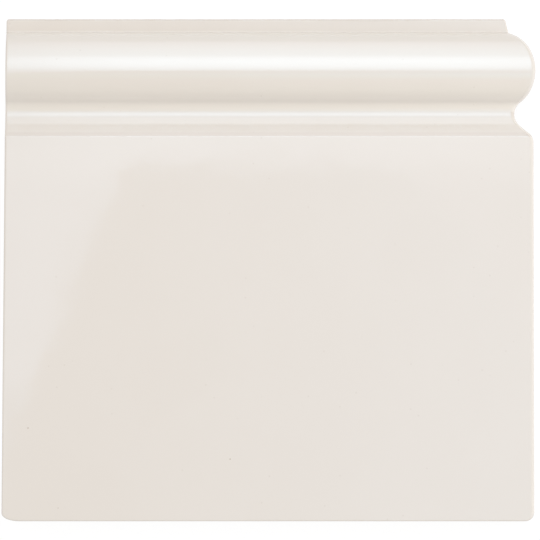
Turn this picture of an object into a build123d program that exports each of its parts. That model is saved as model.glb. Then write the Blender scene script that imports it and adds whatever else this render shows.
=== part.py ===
from build123d import *
import os

# Overall sizes of the skirting corner tile, in millimetres
height = 152.0            # foot to top edge
top_length = 152.8        # butt edge to outer corner, along the top edge
top_depth = 7.0           # wall to front, at the top edge

# Moulding: drops are down from the top edge, stands are out from the narrow top band
crease_radius = 1.0       # hollow between the top band and the bead
bead_stand = 9.0          # top band to crest of the bead
bead_drop = 15.6          # top edge to crest of the bead
crest_radius = 13.5       # flatter middle arc of the bead
crest_turn = 28.0         # degrees that the middle arc turns, each side of the crest
shoulder_radius = 10.0    # rounder arcs of the bead, above and below the middle one
cove_radius = 4.5         # hollow under the bead
face_stand = 8.4          # top band to plain face

# Along the wall the moulding is crisp, and its top band is parallel to the wall
run_splay = 38.0          # degrees between the plain face and the splay above it
run_arris = 1.0           # radius where the splay turns into the plain face
run_arris_drop = 35.4     # top edge to the sharp corner of that turn

# Round the exposed end it is softer, and its top band leans back
end_lean = 13.5           # degrees
end_splay = 50.0
end_arris = 3.3
end_arris_drop = 35.8

# Rounded edges
butt_foot_corner = 2.9    # seen from the front, where the foot meets the butt edge
end_foot_corner = 2.0     # seen from the front, where the foot meets the exposed end
top_corner = 1.0          # seen from the front, at both ends of the top edge
front_round = 0.7         # all round the front, where it turns to the edges

# Keys in the back, which the adhesive fills
key_pitch = 16.0
key_width = 8.0
key_depth = 1.2
key_border = 12.0         # plain margin round the keys

# The tile lies on its back: X runs along the skirting, Y up the wall, Z out of it
bead_depth = top_depth + bead_stand
face_depth = top_depth + face_stand
tile_depth = max(bead_depth, face_depth)
tile_length = top_length - top_depth + tile_depth
half_length = tile_length / 2
half_height = height / 2
outward = Vector(1, 0)
upward = Vector(0, 1)
half_turn = 180.0


# Arc that fills the hollow between a straight line and an arc of the bead
def hollow(line, arc, radius):
    arcs = ConstrainedArcs(line, (arc, Tangency.OUTSIDE), radius=radius).edges()
    return arcs.sort_by(Axis.X)[-1]


# Moulding line from the foot to the top edge, closed by a straight line behind it
def moulding(behind, band_rise, splay_slope, arris_radius, arris_drop):
    foot = outward * face_depth
    arris = foot + upward * (height - arris_drop)
    top = outward * top_depth + upward * height
    face = Line(foot, arris)
    splay = PolarLine(arris, arris_drop, direction=upward.rotate(Axis.Z, splay_slope))
    band = PolarLine(top, bead_drop, direction=-band_rise)

    # The bead is a three-centred curve
    crest_middle = outward * (bead_depth - crest_radius) + upward * (height - bead_drop)
    to_shoulder = outward.rotate(Axis.Z, crest_turn) * (crest_radius - shoulder_radius)
    to_belly = outward.rotate(Axis.Z, -crest_turn) * (crest_radius - shoulder_radius)
    far_turn = half_turn - crest_turn
    crest = CenterArc(crest_middle, crest_radius, -crest_turn, 2 * crest_turn)
    shoulder = CenterArc(crest_middle + to_shoulder, shoulder_radius, crest_turn, far_turn)
    belly = CenterArc(crest_middle + to_belly, shoulder_radius, -half_turn, far_turn)

    turn = ConstrainedArcs(face, splay, radius=arris_radius).edge()
    cove = hollow(splay, belly, cove_radius)
    crease = hollow(band, shoulder, crease_radius)
    low_turn, high_turn = turn.vertices().sort_by(Axis.Y)
    low_cove, high_cove = cove.vertices().sort_by(Axis.Y)
    low_crease, high_crease = crease.vertices().sort_by(Axis.Y)

    back_top = upward * height - outward * behind
    back_foot = -outward * behind
    return Face(Wire([
        Edge.make_line(foot, low_turn),
        turn,
        Edge.make_line(high_turn, low_cove),
        cove,
        belly.edge().trim(high_cove, belly @ 1),
        crest.edge(),
        shoulder.edge().trim(shoulder @ 0, low_crease),
        crease,
        Edge.make_line(high_crease, top),
        Edge.make_line(top, back_top),
        Edge.make_line(back_top, back_foot),
        Edge.make_line(back_foot, foot),
    ]))


# The moulding runs along the wall and turns round the exposed end
run_line = moulding(0, upward, run_splay, run_arris, run_arris_drop)
end_rise = upward.rotate(Axis.Z, end_lean)
end_line = moulding(tile_length - tile_depth, end_rise, end_splay, end_arris, end_arris_drop)
run_section = Plane((half_length, -half_height, 0), x_dir=(0, 0, 1), z_dir=(-1, 0, 0))
end_plan = Plane((half_length - tile_depth, -half_height, 0), x_dir=(1, 0, 0), z_dir=(0, 0, 1))
run = extrude(run_section * run_line, tile_length)
returned_end = extrude(end_plan * end_line, tile_depth)
tile = run & returned_end

# Corners as seen from the front
foot_edges = tile.edges().filter_by(Axis.Z).group_by(Axis.Y)[0]
tile = fillet(foot_edges.sort_by(Axis.X)[0], butt_foot_corner)
foot_edges = tile.edges().filter_by(Axis.Z).group_by(Axis.Y)[0]
tile = fillet(foot_edges.sort_by(Axis.X)[-1], end_foot_corner)
top_edges = tile.edges().filter_by(Axis.Z).group_by(Axis.Y)[-1]
tile = fillet(top_edges, top_corner)

# Front edges: where the moulded front meets the upright edges of the tile
least_rise = 0.001        # a face whose normal rises less than this is upright
upright_faces = tile.faces().filter_by(lambda face: abs(face.normal_at().Z) < least_rise)
front_faces = tile.faces().filter_by(lambda face: face.normal_at().Z > least_rise)
tile = fillet(front_faces.edges() & upright_faces.edges(), front_round)

# Keys stop short of every edge, so none shows at the exposed end
key_length = top_length - 2 * key_border
key_count = int((height - 2 * key_border) // key_pitch)
key_middle = Pos(top_length / 2 - half_length, 0)
for place in GridLocations(0, key_pitch, 1, key_count):
    tile -= extrude(key_middle * place * SlotOverall(key_length, key_width), key_depth)

os.makedirs("parts", exist_ok=True)
export_step(tile, "parts/skirting_corner_tile.step")
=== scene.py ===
import math
import bmesh
import bpy
from mathutils import Matrix, Vector
from numpy import interp


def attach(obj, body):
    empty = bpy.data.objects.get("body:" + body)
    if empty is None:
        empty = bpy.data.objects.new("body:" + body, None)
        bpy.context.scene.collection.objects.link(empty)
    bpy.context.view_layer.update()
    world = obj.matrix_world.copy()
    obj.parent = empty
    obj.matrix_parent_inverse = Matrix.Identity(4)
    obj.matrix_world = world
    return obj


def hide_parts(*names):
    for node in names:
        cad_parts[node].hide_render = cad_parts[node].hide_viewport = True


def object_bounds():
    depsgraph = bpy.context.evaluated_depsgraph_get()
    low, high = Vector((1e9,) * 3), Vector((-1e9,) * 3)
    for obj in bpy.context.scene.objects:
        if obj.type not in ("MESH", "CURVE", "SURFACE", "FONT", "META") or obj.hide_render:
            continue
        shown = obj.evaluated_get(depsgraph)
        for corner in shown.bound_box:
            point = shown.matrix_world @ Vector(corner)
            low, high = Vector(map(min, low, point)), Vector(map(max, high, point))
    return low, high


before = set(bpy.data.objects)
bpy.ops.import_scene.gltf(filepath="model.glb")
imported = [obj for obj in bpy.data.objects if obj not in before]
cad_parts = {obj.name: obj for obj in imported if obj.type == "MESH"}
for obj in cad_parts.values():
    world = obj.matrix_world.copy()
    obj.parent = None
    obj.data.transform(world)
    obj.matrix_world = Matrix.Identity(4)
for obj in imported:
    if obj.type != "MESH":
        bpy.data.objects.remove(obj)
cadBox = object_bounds()
boxLow, boxHigh = cadBox
buttX, footY, crestZ = boxLow.x, boxLow.y, boxHigh.z
tileHeight = boxHigh.y - boxLow.y
topY = footY + tileHeight
cornerX = boxHigh.x - crestZ      # where the wall behind the tile turns its corner
tiny = 1e-6                       # two places nearer than this are the same
print("frame loaded, box in mm:", [round(v * 1000, 1) for v in boxHigh - boxLow])

# metres and degrees: depths out from the wall, drops down from the top edge
tileShape = {
    "topDepth": 0.0070,
    "creaseRadius": 0.00012,
    "beadDrop": 0.0156,
    "crestRadius": 0.0135,
    "crestTurn": 28.0,
    "shoulderRadius": 0.0100,
    "faceDepth": 0.0154,
    "splayBend": 0.0100,          # radius where the splay eases towards the cove
    "alongWall": {
        "lean": -4.0,
        "splay": 42.0,
        "splayLength": 0.0042,
        "coveSplay": 34.0,
        "coveRadius": 0.0040,
        "arrisRadius": 0.0004,
        "arrisDrop": 0.03555,
    },
    "roundEnd": {
        "lean": 13.5,
        "splay": 50.0,
        "splayLength": 0.0030,
        "coveSplay": 49.0,
        "coveRadius": 0.0045,
        "arrisRadius": 0.0033,
        "arrisDrop": 0.0358,
    },
    "buttLean": 0.0014,           # the butt edge leans in towards the top, from the firing
    "endLean": 0.0003,
    "degreesPerStep": 2.5,        # fineness of the round stretches
    "leastSteps": 4,
    "leastRise": 0.00002,         # two rows of the mesh are never nearer than this
}


def outFrom(angle):
    return Vector((math.cos(angle), math.sin(angle)))


def upAlong(angle):
    return Vector((-math.sin(angle), math.cos(angle)))


def profilePoint(depth, rise):
    return Vector((buttX, footY + rise, depth))


def drawLine(bm, tip, end):
    tip = bmesh.ops.extrude_vert_indiv(bm, verts=[tip])["verts"][0]
    tip.co = end
    return tip


def drawArc(bm, tip, centre, turn, axis=(1, 0, 0)):
    steps = max(tileShape["leastSteps"], round(abs(math.degrees(turn)) / tileShape["degreesPerStep"]))
    made = bmesh.ops.spin(bm, geom=[tip], cent=centre, axis=axis, angle=turn, steps=steps)
    return made["geom_last"][0]


# centre of the hollow that touches a slope and an arc of the bead, coming along the slope from a point
def hollowCentre(point, slope, heading, radius, arcCentre, arcRadius):
    along = upAlong(slope) * heading
    start = point + outFrom(slope) * radius
    ahead = (arcCentre - start).dot(along)
    aside = (arcCentre - start - along * ahead).length
    return start + along * (ahead - math.sqrt((arcRadius + radius) ** 2 - aside ** 2))


# the moulding line from the foot up to the top edge
def drawMoulding(bm, line):
    s = tileShape
    splay, coveSplay, lean = (math.radians(line[name]) for name in ("splay", "coveSplay", "lean"))
    crest = math.radians(s["crestTurn"])
    arris = Vector((s["faceDepth"], tileHeight - line["arrisDrop"]))
    top = Vector((s["topDepth"], tileHeight))

    # the bead is a three-centred curve
    crestCentre = Vector((crestZ - s["crestRadius"], tileHeight - s["beadDrop"]))
    inset = s["crestRadius"] - s["shoulderRadius"]
    shoulder = crestCentre + outFrom(crest) * inset
    belly = crestCentre + outFrom(-crest) * inset

    arrisStart = arris.y - line["arrisRadius"] * math.tan(splay / 2)
    bendStart = arris + upAlong(splay) * line["splayLength"]
    bend = bendStart + outFrom(splay) * s["splayBend"]
    bendEnd = bend - outFrom(coveSplay) * s["splayBend"]
    cove = hollowCentre(bendEnd, coveSplay, 1, line["coveRadius"], belly, s["shoulderRadius"])
    coveStart = cove - outFrom(coveSplay) * line["coveRadius"]
    coveMeets = math.atan2((belly - cove).y, (cove - belly).x)
    crease = hollowCentre(top, lean, -1, s["creaseRadius"], shoulder, s["shoulderRadius"])
    creaseMeets = math.atan2((crease - shoulder).y, (crease - shoulder).x)

    tip = bm.verts.new(profilePoint(s["faceDepth"], 0))
    tip = drawLine(bm, tip, profilePoint(s["faceDepth"], arrisStart))
    tip = drawArc(bm, tip, profilePoint(s["faceDepth"] - line["arrisRadius"], arrisStart), -splay)
    tip = drawLine(bm, tip, profilePoint(*bendStart))
    tip = drawArc(bm, tip, profilePoint(*bend), splay - coveSplay)
    tip = drawLine(bm, tip, profilePoint(*coveStart))
    tip = drawArc(bm, tip, profilePoint(*cove), coveSplay + coveMeets)
    tip = drawArc(bm, tip, profilePoint(*belly), crest - coveMeets)
    tip = drawArc(bm, tip, profilePoint(*crestCentre), -2 * crest)
    tip = drawArc(bm, tip, profilePoint(*shoulder), crest - creaseMeets)
    tip = drawArc(bm, tip, profilePoint(*crease), creaseMeets - lean)
    drawLine(bm, tip, profilePoint(*top))


# heights and depths along one moulding line
def mouldingLine(line):
    bm = bmesh.new()
    drawMoulding(bm, line)
    points = sorted((v.co.y, v.co.z) for v in bm.verts)
    bm.free()
    return [y for y, z in points], [z for y, z in points]


def vertsOf(geom):
    return [g for g in geom if isinstance(g, bmesh.types.BMVert)]


def edgesOf(geom):
    return [g for g in geom if isinstance(g, bmesh.types.BMEdge)]


def fillLoop(bm, verts):
    inLoop = set(verts)
    rim = [e for e in bm.edges if len(e.link_faces) < 2 and all(v in inLoop for v in e.verts)]
    bmesh.ops.edgeloop_fill(bm, edges=rim)


# drops a chain of edges to the wall, which makes an upright side
def dropToWall(bm, edges):
    made = bmesh.ops.extrude_edge_only(bm, edges=edges)["geom"]
    bmesh.ops.scale(bm, vec=(1, 1, 0), verts=vertsOf(made))
    return vertsOf(made)


# a side leans over by this much at the top and stays put at the foot
def leanSide(bm, verts, lean):
    k = lean / tileHeight
    leaned = Matrix(((1, k, 0, -k * footY), (0, 1, 0, 0), (0, 0, 1, 0), (0, 0, 0, 1)))
    bmesh.ops.transform(bm, matrix=leaned, verts=verts)


# the line along the wall runs to the ridge, where the line round the end takes over
def raiseTile(bm):
    wallLine, endLine = (mouldingLine(tileShape[name]) for name in ("alongWall", "roundEnd"))
    heights = []
    for y in sorted(wallLine[0] + endLine[0]):
        if not heights or y - heights[-1] > tileShape["leastRise"]:
            heights.append(y)
    tip = bm.verts.new((buttX, heights[0], interp(heights[0], *wallLine)))
    for y in heights[1:]:
        tip = drawLine(bm, tip, Vector((buttX, y, interp(y, *wallLine))))
    buttChain, buttEdges = bm.verts[:], bm.edges[:]
    made = bmesh.ops.extrude_edge_only(bm, edges=buttEdges)["geom"]
    ridgeChain = vertsOf(made)
    for v in ridgeChain:
        v.co.x = cornerX + interp(v.co.y, *endLine)
    endBase = dropToWall(bm, edgesOf(made))
    buttBase = dropToWall(bm, buttEdges)

    chains = (buttChain, ridgeChain, endBase, buttBase)
    feet = [min(c, key=lambda v: v.co.y) for c in chains]
    tops = [max(c, key=lambda v: v.co.y) for c in chains]
    for loop in (feet, tops):
        bmesh.ops.contextual_create(bm, geom=loop[2:])     # the edge along the wall
        fillLoop(bm, loop)
    fillLoop(bm, endBase + buttBase)
    leanSide(bm, buttChain + buttBase, tileShape["buttLean"])
    leanSide(bm, ridgeChain + endBase, -tileShape["endLean"])
    bmesh.ops.recalc_face_normals(bm, faces=bm.faces[:])


# corners as seen from the front: radius up the side, and how many times longer along the edge
cornerShape = {
    "buttFoot": (0.0024, 2.2),
    "endFoot": (0.0027, 1.0),
    "buttTop": (0.0008, 1.0),
    "endTop": (0.0008, 1.0),
    "steps": 6,
}
cornerPlaces = {"buttFoot": (footY, -1), "endFoot": (footY, 1), "buttTop": (topY, -1), "endTop": (topY, 1)}


def roundCorners(bm):
    for name, (y, side) in cornerPlaces.items():
        radius, stretch = cornerShape[name]
        level = [e for e in bm.edges if all(abs(v.co.y - y) < tiny for v in e.verts)]
        upright = [e for e in level if (e.verts[0].co - e.verts[1].co).xy.length < tiny]
        corner = max(upright, key=lambda e: e.verts[0].co.x * side)
        fixed = Matrix.Translation((-corner.verts[0].co.x, 0, 0))
        made = bmesh.ops.bevel(bm, geom=[corner], offset=radius, offset_type="OFFSET", affect="EDGES",
                               segments=cornerShape["steps"], profile=0.5, material=-1, loop_slide=True)
        bmesh.ops.scale(bm, vec=(stretch, 1, 1), space=fixed, verts=made["verts"])
    bm.normal_update()


# radius of the rounding where the front turns to each side
rimShape = {
    "end": 0.0012,
    "butt": 0.0006,
    "foot": 0.0004,
    "top": 0.0004,
    "steps": 6,
    "topDrop": 0.0052,            # the top's rounding goes this far down both sides
    "sharpAngle": 35,             # degrees, past which an edge is shaded sharp
    "uprightRise": 0.01,          # a face whose normal rises less than this is upright
    "leastHeight": 0.001,         # edges below this belong to the back
}


# each rim edge gets its share of the widest rounding, mixed round the foot corners
def weighRim(bm):
    r = rimShape
    weight = bm.edges.layers.float.new("bevel_weight_edge")
    widest = max(r[name] for name in ("end", "butt", "foot", "top"))
    for e in bm.edges:
        side, front = sorted(e.link_faces, key=lambda f: abs(f.normal.z))
        e.smooth = e.calc_face_angle() < math.radians(r["sharpAngle"])
        turns = abs(side.normal.z) <= r["uprightRise"] <= abs(front.normal.z)
        if not turns or max(v.co.z for v in e.verts) < r["leastHeight"]:
            continue
        middle = (e.verts[0].co + e.verts[1].co) / 2
        radius = r["end" if middle.x > cornerX else "butt"]
        if middle.y > topY - r["topDrop"]:
            radius = r["top"]
        elif middle.y < footY + cornerShape["buttFoot"][0]:
            radius = radius * side.normal.x ** 2 + r["foot"] * side.normal.y ** 2
        e[weight] = radius / widest
        e.smooth = True
    return widest


keyShape = {"pitch": 0.016, "width": 0.008, "depth": 0.0012, "border": 0.012, "draft": 0.0004}


# one round-ended outline on the back for each key
def drawKey(bm, low, high, y):
    r = keyShape["width"] / 2
    before = set(bm.edges)
    first = bmesh.ops.create_vert(bm, co=(low, y - r, 0))["vert"][0]
    tip = drawLine(bm, first, Vector((high, y - r, 0)))
    tip = drawArc(bm, tip, (high, y, 0), math.pi, (0, 0, 1))
    tip = drawLine(bm, tip, Vector((low, y + r, 0)))
    tip = drawArc(bm, tip, (low, y, 0), math.pi, (0, 0, 1))
    bmesh.ops.pointmerge(bm, verts=[tip, first], merge_co=first.co)
    return [e for e in bm.edges if e not in before]


# the back is filled round the keys, and each key sinks with a little draft
def cutKeys(bm):
    k = keyShape
    back = max(bm.faces, key=lambda f: -f.normal.z * f.calc_area())
    rim = back.edges[:]
    bmesh.ops.delete(bm, geom=[back], context="FACES_ONLY")
    inset = k["border"] + k["width"] / 2
    low, high = buttX + inset, cornerX + tileShape["topDepth"] - inset
    count = int((tileHeight - 2 * k["border"]) // k["pitch"])
    middle = footY + tileHeight / 2
    rows = [middle + (i - (count - 1) / 2) * k["pitch"] for i in range(count)]
    loops = [drawKey(bm, low, high, y) for y in rows]
    bmesh.ops.triangle_fill(bm, edges=rim + sum(loops, []), use_beauty=True, use_dissolve=False)
    length = high - low + k["width"]
    shrink = Vector((1 - 2 * k["draft"] / length, 1 - 2 * k["draft"] / k["width"], 1))
    for y, loop in zip(rows, loops):
        floor = bmesh.ops.extrude_edge_only(bm, edges=loop)["geom"]
        centre = Matrix.Translation((-(low + high) / 2, -y, 0))
        bmesh.ops.scale(bm, vec=shrink, space=centre, verts=vertsOf(floor))
        bmesh.ops.translate(bm, vec=(0, 0, k["depth"]), verts=vertsOf(floor))
        bmesh.ops.edgeloop_fill(bm, edges=edgesOf(floor))
    bmesh.ops.recalc_face_normals(bm, faces=bm.faces[:])


bm = bmesh.new()
raiseTile(bm)
roundCorners(bm)
cutKeys(bm)
rimWidth = weighRim(bm)
print("tile:", len(bm.faces), "faces,", sum(len(e.link_faces) != 2 for e in bm.edges), "open edges,",
      round(bm.calc_volume() * 1e6, 2), "cm3")


def addNode(tree, kind, **settings):
    node = tree.nodes.new(kind)
    for name, value in settings.items():
        setattr(node, name, value)
    return node


def setInputs(node, **values):
    for name, value in values.items():
        node.inputs[name].default_value = value
    return node


def feed(tree, socket, value):
    if isinstance(value, bpy.types.NodeSocket):
        tree.links.new(value, socket)
    else:
        socket.default_value = value


def compute(tree, operation, *values):
    node = addNode(tree, "ShaderNodeMath", operation=operation)
    for socket, value in zip(node.inputs, values):
        feed(tree, socket, value)
    return node.outputs[0]


def spread(tree, value, low, high, toLow=0.0, toHigh=1.0):
    node = setInputs(addNode(tree, "ShaderNodeMapRange", interpolation_type="SMOOTHSTEP"),
                     **{"From Min": low, "From Max": high, "To Min": toLow, "To Max": toHigh})
    tree.links.new(value, node.inputs["Value"])
    return node.outputs["Result"]


def blend(tree, share, first, second, kind="MIX"):
    node = addNode(tree, "ShaderNodeMix", data_type="RGBA", blend_type=kind)
    for socket, value in zip((node.inputs[0], node.inputs[6], node.inputs[7]), (share, first, second)):
        feed(tree, socket, value)
    return node.outputs[2]


def noise(tree, place, scale, detail):
    node = setInputs(addNode(tree, "ShaderNodeTexNoise"), Scale=scale, Detail=detail)
    tree.links.new(place, node.inputs["Vector"])
    return node.outputs["Fac"]


def bump(tree, height, depth, under=None):
    node = setInputs(addNode(tree, "ShaderNodeBump"), Distance=depth)
    tree.links.new(height, node.inputs["Height"])
    if under:
        tree.links.new(under, node.inputs["Normal"])
    return node.outputs["Normal"]


def objectPlace(tree):
    return addNode(tree, "ShaderNodeTexCoord").outputs["Object"]


def splitPlace(tree, place):
    parts = addNode(tree, "ShaderNodeSeparateXYZ")
    tree.links.new(place, parts.inputs[0])
    return parts.outputs


def newMaterial(name):
    material = bpy.data.materials.new(name)
    material.use_nodes = True
    return material, material.node_tree


# grain of the fired clay, with sizes as a count per metre
clay = {
    "clouds": (45.0, 3),          # scale, detail
    "grit": (2600.0, 4),
    "pits": 420.0,
    "pitShare": 0.10,             # most of the cells have no pit
    "pitSize": 0.16,
    "colour": (0.70, 0.615, 0.51, 1),
    "cloud": (0.62, 0.53, 0.43, 1),
    "cloudRange": (0.35, 0.65),
    "dust": (0.80, 0.76, 0.70, 1),
    "dustRange": (0.52, 0.72, 0.0, 0.6),
    "pit": (0.36, 0.29, 0.23, 1),
}


# used by the glaze and by the bare clay
def makeClayGrain():
    c = clay
    group = bpy.data.node_groups.new("clayGrain", "ShaderNodeTree")
    group.interface.new_socket("Place", in_out="INPUT", socket_type="NodeSocketVector")
    for name in ("Clouds", "Grit", "Pits"):
        group.interface.new_socket(name, in_out="OUTPUT", socket_type="NodeSocketFloat")
    group.interface.new_socket("Colour", in_out="OUTPUT", socket_type="NodeSocketColor")
    place = addNode(group, "NodeGroupInput").outputs["Place"]
    out = addNode(group, "NodeGroupOutput")

    cells = setInputs(addNode(group, "ShaderNodeTexVoronoi"), Scale=c["pits"])
    group.links.new(place, cells.inputs["Vector"])
    chance = addNode(group, "ShaderNodeSeparateColor")
    group.links.new(cells.outputs["Color"], chance.inputs["Color"])
    chosen = compute(group, "LESS_THAN", chance.outputs["Red"], c["pitShare"])
    hole = spread(group, cells.outputs["Distance"], c["pitSize"], c["pitSize"] / 3)
    pits = compute(group, "MULTIPLY", chosen, hole)
    clouds = noise(group, place, *c["clouds"])
    grit = noise(group, place, *c["grit"])

    colour = blend(group, spread(group, clouds, *c["cloudRange"]), c["colour"], c["cloud"])
    colour = blend(group, spread(group, grit, *c["dustRange"]), colour, c["dust"])
    colour = blend(group, pits, colour, c["pit"])
    for name, value in (("Clouds", clouds), ("Grit", grit), ("Pits", pits), ("Colour", colour)):
        group.links.new(value, out.inputs[name])
    return group


clayGrain = makeClayGrain()


def grainAt(tree, place):
    grain = addNode(tree, "ShaderNodeGroup", node_tree=clayGrain)
    tree.links.new(place, grain.inputs["Place"])
    return grain.outputs


biscuit = {
    "ior": 1.45,
    "roughness": (0.3, 0.7, 0.78, 0.92),     # from the clouds' range to this one
    "relief": 0.00006,
    "pitRelief": 3.0,             # times the grit's
}


def biscuitMaterial():
    b = biscuit
    material, tree = newMaterial("bareBiscuit")
    shader = setInputs(tree.nodes["Principled BSDF"], IOR=b["ior"])
    grain = grainAt(tree, objectPlace(tree))
    tree.links.new(grain["Colour"], shader.inputs["Base Color"])
    tree.links.new(spread(tree, grain["Clouds"], *b["roughness"]), shader.inputs["Roughness"])
    pits = compute(tree, "MULTIPLY", grain["Pits"], b["pitRelief"])
    relief = compute(tree, "SUBTRACT", grain["Grit"], pits)
    tree.links.new(bump(tree, relief, b["relief"]), shader.inputs["Normal"])
    return material


# stripes are given by their drop from the top edge: start, full, still full, end, share
glaze = {
    "ior": 1.5,
    "colour": (0.825, 0.773, 0.712, 1),
    "cloud": (0.820, 0.767, 0.705, 1),       # where the coat lies a little thicker
    "cloudRange": (0.38, 0.66),
    "gloss": (0.3, 0.7, 0.030, 0.042),       # from the clouds' range to this roughness
    "thinAndShade": (0.70, 0.625, 0.555, 1),         # where the clay shows through at the edges; also painted shade above the arris and under the cove
    "thinWidth": 0.0005,
    "thinRange": (1.4, 0.2),                 # widths from the edge
    "thinEdges": {"top": 1.0, "foot": 0.08, "butt": 0.45},
    # painted shade on the splay just above the arris
    "paintedShadeAboveArris": (0.03395, 0.03475, 0.0355, 0.0358, 0.38),
    # painted shade on the lower curve of the cove, dimming its highlight
    "paintedShadeUnderCove": (0.0280, 0.0285, 0.0295, 0.0302, 0.38),
    "paintedShadeFade": (-0.075, -0.035, 0.25, 1.0),     # painted shade under the cove, along the tile, weaker at the butt end
    "paintedLight": (0.88, 0.83, 0.765, 1),          # painted light: a paler tone that lifts the shade in the cove and the crease
    "paintedLightCove": (0.0247, 0.0262, 0.0276, 0.0284, 1.0),
    "paintedLightCrease": (0.0039, 0.0043, 0.0045, 0.0055, 0.6),
    "dullCrease": (0.0034, 0.0038, 0.0044, 0.0048, 0.5),
    "bareHeight": 0.0028,                    # the glaze stops about this far up the sides
    "bareEdge": (1.03, 0.97),
    "bareRoughness": 0.78,
    "waves": (75.0, 1),                      # scale per metre, detail
    "waveHeight": 0.000016,
    "peel": (620.0, 2),
    "peelHeight": 0.0000012,
    "speck": (0.42, 0.33, 0.25, 1),
    "pitShare": 0.12,                        # how much of the clay's pits shows
    # across, up, radius, share
    "specks": (
        (-0.0728, -0.0478, 0.00038, 0.45),
        (-0.0637, -0.0720, 0.00030, 0.3),
        (-0.0117, -0.0572, 0.00030, 0.65),
    ),
}


def largest(tree, *values):
    most = values[0]
    for value in values[1:]:
        most = compute(tree, "MAXIMUM", most, value)
    return most


# one level stripe along the moulding
def stripe(tree, y, start, full, stop, end, share):
    drop = compute(tree, "SUBTRACT", topY, y)
    rising = spread(tree, drop, start, full)
    falling = spread(tree, drop, end, stop, 0.0, share)
    return compute(tree, "MULTIPLY", rising, falling)


# how thin the coat is along three edges, with painted shade above the arris and under the cove
def thinCoatAndShade(tree, x, y, grain):
    g = glaze
    rise = compute(tree, "SUBTRACT", y, footY)
    lean = compute(tree, "MULTIPLY", rise, tileShape["buttLean"] / tileHeight)
    away = {
        "top": compute(tree, "SUBTRACT", tileHeight, rise),
        "foot": rise,
        "butt": compute(tree, "SUBTRACT", compute(tree, "SUBTRACT", x, buttX), lean),
    }
    width = compute(tree, "MULTIPLY", grain["Clouds"], 2 * g["thinWidth"])     # the clouds average a half
    edges = [spread(tree, compute(tree, "DIVIDE", away[edge], width), *g["thinRange"], 0.0, share)
             for edge, share in g["thinEdges"].items()]
    # painted shade above the arris
    arris = stripe(tree, y, *g["paintedShadeAboveArris"])
    # painted shade under the cove, weaker towards the butt end
    fade = spread(tree, x, *g["paintedShadeFade"])
    coveShade = compute(tree, "MULTIPLY", stripe(tree, y, *g["paintedShadeUnderCove"]), fade)
    return largest(tree, *edges, arris, coveShade)


def speckMask(tree, place, grain):
    masks = [compute(tree, "MULTIPLY", grain["Pits"], glaze["pitShare"])]
    for x, y, radius, share in glaze["specks"]:
        away = addNode(tree, "ShaderNodeVectorMath", operation="DISTANCE")
        tree.links.new(place, away.inputs[0])
        away.inputs[1].default_value = (x, y, tileShape["faceDepth"])
        masks.append(spread(tree, away.outputs["Value"], radius, radius / 3, 0.0, share))
    return largest(tree, *masks)


def glazeMaterial():
    g = glaze
    material, tree = newMaterial("ivoryGlaze")
    shader = setInputs(tree.nodes["Principled BSDF"], IOR=g["ior"])
    place = objectPlace(tree)
    grain = grainAt(tree, place)
    x, y, z = splitPlace(tree, place)
    bareTop = compute(tree, "MULTIPLY", grain["Clouds"], 2 * g["bareHeight"])
    bare = spread(tree, compute(tree, "DIVIDE", z, bareTop), *g["bareEdge"])

    colour = blend(tree, spread(tree, grain["Clouds"], *g["cloudRange"]), g["colour"], g["cloud"])
    # painted light over the shade in the cove and the crease
    paintedLights = largest(tree, stripe(tree, y, *g["paintedLightCove"]), stripe(tree, y, *g["paintedLightCrease"]))
    colour = blend(tree, paintedLights, colour, g["paintedLight"])
    colour = blend(tree, thinCoatAndShade(tree, x, y, grain), colour, g["thinAndShade"])
    colour = blend(tree, speckMask(tree, place, grain), colour, g["speck"])
    colour = blend(tree, bare, colour, grain["Colour"])
    tree.links.new(colour, shader.inputs["Base Color"])

    gloss = spread(tree, grain["Clouds"], *g["gloss"])
    dull = stripe(tree, y, *g["dullCrease"])
    rough = compute(tree, "MULTIPLY", bare, g["bareRoughness"])
    tree.links.new(largest(tree, gloss, dull, rough), shader.inputs["Roughness"])

    waves = bump(tree, noise(tree, place, *g["waves"]), g["waveHeight"])
    peel = bump(tree, noise(tree, place, *g["peel"]), g["peelHeight"], waves)
    grit = compute(tree, "MULTIPLY", grain["Grit"], bare)
    tree.links.new(bump(tree, grit, biscuit["relief"], peel), shader.inputs["Normal"])
    return material


# the back and the floors of the keys are bare
def isBack(face):
    return face.calc_center_median().z < keyShape["depth"] + tiny and abs(face.normal.z) > 0.5


def dressTile(bm):
    for f in bm.faces:
        f.smooth = True
        f.material_index = int(isBack(f))
    mesh = bpy.data.meshes.new("skirtingCornerTile")
    bm.to_mesh(mesh)
    bm.free()
    mesh.materials.append(glazeMaterial())
    mesh.materials.append(biscuitMaterial())
    tile = bpy.data.objects.new("skirtingCornerTile", mesh)
    bpy.context.collection.objects.link(tile)
    rounded = tile.modifiers.new("rimRounding", "BEVEL")
    rounded.limit_method, rounded.width, rounded.segments = "WEIGHT", rimWidth, rimShape["steps"]
    rounded.use_clamp_overlap, rounded.profile, rounded.material = False, 0.5, -1
    even = tile.modifiers.new("evenShading", "WEIGHTED_NORMAL")
    even.keep_sharp = True
    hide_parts("skirting_corner_tile")
    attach(tile, "root")


dressTile(bm)
print("tile dressed")

studio = {
    "floorSize": 12.0,
    "floorDrop": 0.00005,          # just under the tile's back
    "floorBounce": 0.8,            # for the light that the floor gives back to the tile
    "floorDiffuse": 0.14,          # share of the white that takes the tile's shadow
    "floorGlow": 0.91,
    "fill": 0.75,                  # even light from all round
    "cameraHeight": 3.0,
    "cameraAim": (0.00036, -0.00003),
    "cameraReach": 20.0,
    "pixelsPerMetre": 3308,        # at the plain face
    "framePixels": 540,
}


def grey(tone):
    return (tone, tone, tone, 1)


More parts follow.
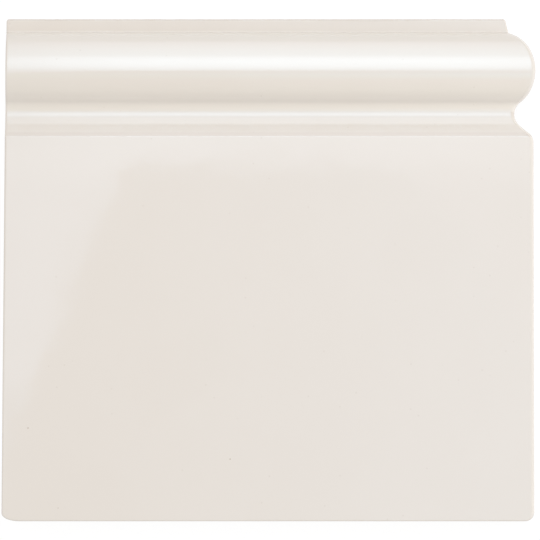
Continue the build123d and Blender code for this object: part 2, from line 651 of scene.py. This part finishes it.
# one shader lights the tile, and the other is what the camera and the gloss see
def splitByRay(tree, lighting, seen, outKind):
    path = addNode(tree, "ShaderNodeLightPath").outputs
    rays = [path[name] for name in ("Is Camera Ray", "Is Glossy Ray", "Is Transmission Ray")]
    mix = addNode(tree, "ShaderNodeMixShader")
    for socket, value in zip(mix.inputs, (largest(tree, *rays), lighting.outputs[0], seen.outputs[0])):
        feed(tree, socket, value)
    tree.links.new(mix.outputs[0], addNode(tree, outKind).inputs["Surface"])


def makeFloor():
    floorMesh = bmesh.new()
    bmesh.ops.create_grid(floorMesh, x_segments=1, y_segments=1, size=studio["floorSize"] / 2)
    bmesh.ops.translate(floorMesh, vec=(0, 0, -studio["floorDrop"]), verts=floorMesh.verts[:])
    mesh = bpy.data.meshes.new("floor")
    floorMesh.to_mesh(mesh)
    floorMesh.free()
    material, tree = newMaterial("whiteFloor")
    tree.nodes.clear()
    bounce = setInputs(addNode(tree, "ShaderNodeBsdfDiffuse"), Color=grey(studio["floorBounce"]))
    shade = setInputs(addNode(tree, "ShaderNodeBsdfDiffuse"), Color=grey(studio["floorDiffuse"]))
    glow = setInputs(addNode(tree, "ShaderNodeEmission"), Strength=studio["floorGlow"])
    white = addNode(tree, "ShaderNodeAddShader")
    tree.links.new(shade.outputs[0], white.inputs[0])
    tree.links.new(glow.outputs[0], white.inputs[1])
    splitByRay(tree, bounce, white, "ShaderNodeOutputMaterial")
    mesh.materials.append(material)
    floor = bpy.data.objects.new("floor", mesh)
    bpy.context.collection.objects.link(floor)


def makeWorld():
    world = bpy.data.worlds.new("studio")
    bpy.context.scene.world = world
    world.use_nodes = True
    tree = world.node_tree
    tree.nodes.clear()
    fill = setInputs(addNode(tree, "ShaderNodeBackground"), Color=grey(1), Strength=studio["fill"])
    white = setInputs(addNode(tree, "ShaderNodeBackground"), Color=grey(1), Strength=1)
    splitByRay(tree, fill, white, "ShaderNodeOutputWorld")


# name: place, aim, width, height, radiance
lamps = {
    "softbox": ((0.08, 0.51, 1.11), (0.0, 0.06, 0.0), 0.30, 0.46, 7.35),
    "sideFill": ((0.60, 0.0, 0.10), (0.08, 0.0, 0.01), 0.30, 0.20, 4.0),
}


def makeLamps():
    for name, (place, aim, width, height, radiance) in lamps.items():
        data = bpy.data.lights.new(name, "AREA")
        data.shape = "RECTANGLE"
        data.size, data.size_y = width, height
        data.energy = radiance * math.pi * width * height
        lamp = bpy.data.objects.new(name, data)
        lamp.location = place
        lamp.rotation_euler = (Vector(aim) - Vector(place)).to_track_quat("-Z", "Y").to_euler()
        lamp.visible_camera = lamp.visible_glossy = False
        bpy.context.collection.objects.link(lamp)


# Two curved cards hang over the tile, which only the gloss sees.
# Brightness goes by degrees from straight up towards the top edge, with one tone or three.
# Sides are metres across and a tone: the near ones straight up, the far ones past the turn.
ceiling = {
    "radius": 1.5,
    "halfWidth": 0.3,
    "steps": 90,
    "tint": (0.80, 1.0, 1.18),     # cool, as from a window
    "brightest": 8.0,
    "brightness": (
        (-90, 1.95, 1.65, 1.65), (1.7, 1.95, 1.65, 1.65), (2.3, 3.1, 2.7, 2.6), (3.6, 3.1), (9, 4.7),
        (18, 5.8), (26, 6.2), (34, 5.7), (41, 4.0), (50, 3.5), (70, 3.1, 2.8, 2.7), (80, 2.6, 2.2, 2.1),
        (90, 2.2, 1.75, 1.75),
    ),
    "sideTurn": (1.7, 2.5),
    "nearSides": ((-0.12, 1.02), (-0.09, 1.12), (0.12, 0.94)),
    "farSides": ((-0.12, 0.66), (-0.085, 0.90), (-0.05, 1.0), (0.08, 1.03), (0.12, 0.93)),
}
darkCard = {
    "radius": 1.45,
    # degrees, left edge, right edge
    "rows": (
        (1.82, -0.068, 0.060), (1.3, -0.0705, 0.073), (0.95, -0.076, 0.086), (0.5, -0.083, 0.094),
        (0.0, -0.086, 0.101), (-0.5, -0.090, 0.109), (-1.2, -0.097, 0.115), (-1.9, -0.107, 0.119),
        (-2.6, -0.113, 0.122), (-4.5, -0.128, 0.127), (-6, -0.2, 0.2), (-25, -0.4, 0.4), (-50, -0.7, 0.7),
        (-89, -0.9, 0.9),
    ),
    "tint": (1.0, 1.0, 1.0),
    "brightest": 2.0,
    "brightness": (
        (-90, 0.4, 0.35, 0.2), (-70, 0.55, 0.45, 0.25), (-45, 1.05, 0.85, 0.5), (-22, 1.15, 0.8, 0.55),
        (-12, 1.05, 1.3, 1.1), (-7, 1.05, 1.4, 1.35), (-4.5, 1.0), (2, 1.0),
    ),
    "sideTurn": (5, 10),
    "nearSides": ((-0.1, 0.91, 0.72, 0.63), (0.1, 1.35, 1.5, 1.8)),     # warm on the left, cool on the right
    "farSides": ((-0.12, 0.55, 0.56, 0.30), (-0.08, 0.82, 0.74, 0.60), (0.1, 1.35, 1.5, 1.8)),
}
cardAngles = (-90, 90)
cardSides = (-0.15, 0.15)
sideMost = 2.0                     # the sides' brightest tone


# colours along a ramp, each stop a place and one or three tones
def toneRamp(tree, value, ends, stops, most, tint=(1, 1, 1)):
    low, high = ends
    share = setInputs(addNode(tree, "ShaderNodeMapRange"), **{"From Min": low, "From Max": high})
    ramp = addNode(tree, "ShaderNodeValToRGB")
    marks = ramp.color_ramp.elements
    for i, (place, *tones) in enumerate(stops):
        mark = marks[i] if i < 2 else marks.new(1)     # a new ramp has two stops
        mark.position = (place - low) / (high - low)
        mark.color = [b * t / most for b, t in zip((tones * 3)[:3], tint)] + [1]
    tree.links.new(value, share.inputs["Value"])
    tree.links.new(share.outputs["Result"], ramp.inputs[0])
    return ramp.outputs["Color"]


# only the tile's own gloss sees the card's light, not what lies behind a diffuse bounce
def cardMaterial(name, card):
    material, tree = newMaterial(name)
    tree.nodes.clear()
    x, y, z = splitPlace(tree, objectPlace(tree))
    angle = compute(tree, "DEGREES", compute(tree, "ARCTAN2", y, z))
    tone = toneRamp(tree, angle, cardAngles, card["brightness"], card["brightest"], card["tint"])
    near, far = (toneRamp(tree, x, cardSides, card[sides], sideMost) for sides in ("nearSides", "farSides"))
    side = blend(tree, spread(tree, compute(tree, "ABSOLUTE", angle), *card["sideTurn"]), near, far)
    bounces = addNode(tree, "ShaderNodeLightPath").outputs["Diffuse Depth"]
    direct = compute(tree, "LESS_THAN", bounces, 0.5)
    glow = addNode(tree, "ShaderNodeEmission")
    tree.links.new(blend(tree, 1.0, tone, side, "MULTIPLY"), glow.inputs["Color"])
    tree.links.new(compute(tree, "MULTIPLY", direct, card["brightest"] * sideMost), glow.inputs["Strength"])
    tree.links.new(glow.outputs[0], addNode(tree, "ShaderNodeOutputMaterial").inputs["Surface"])
    return material


def hangCard(bm, name, material):
    mesh = bpy.data.meshes.new(name)
    bm.to_mesh(mesh)
    bm.free()
    mesh.materials.append(material)
    card = bpy.data.objects.new(name, mesh)
    bpy.context.collection.objects.link(card)
    card.visible_camera = card.visible_diffuse = card.visible_shadow = card.visible_transmission = False


def arcPoint(radius, degrees, x):
    return Vector((x, radius * math.sin(math.radians(degrees)), radius * math.cos(math.radians(degrees))))


def makeCeiling():
    c = ceiling
    bm = bmesh.new()
    edge = [bm.verts.new(arcPoint(c["radius"], -90, x)) for x in (-c["halfWidth"], c["halfWidth"])]
    edge.append(bm.edges.new(edge))
    bmesh.ops.spin(bm, geom=edge, cent=(0, 0, 0), axis=(1, 0, 0), angle=-math.pi, steps=c["steps"])
    hangCard(bm, "ceiling", cardMaterial("ceilingGlow", c))


def makeDarkCard():
    d = darkCard
    bm = bmesh.new()
    degrees, left, right = d["rows"][0]
    edge = bm.edges.new([bm.verts.new(arcPoint(d["radius"], degrees, x)) for x in (left, right)])
    for degrees, left, right in d["rows"][1:]:
        edge = edgesOf(bmesh.ops.extrude_edge_only(bm, edges=[edge])["geom"])[0]
        for v, x in zip(sorted(edge.verts, key=lambda v: v.co.x), (left, right)):
            v.co = arcPoint(d["radius"], degrees, x)
    hangCard(bm, "darkCard", cardMaterial("darkCard", d))


def makeCamera():
    data = bpy.data.cameras.new("camera")
    reach = studio["cameraHeight"] - tileShape["faceDepth"]
    data.lens = data.sensor_width * reach * studio["pixelsPerMetre"] / studio["framePixels"]
    data.clip_end = studio["cameraReach"]
    camera = bpy.data.objects.new("camera", data)
    camera.location = (*studio["cameraAim"], studio["cameraHeight"])
    bpy.context.collection.objects.link(camera)
    bpy.context.scene.camera = camera


makeFloor()
makeWorld()
makeLamps()
makeCeiling()
makeDarkCard()
makeCamera()
bpy.context.scene.view_settings.view_transform = "Standard"
print("studio ready")
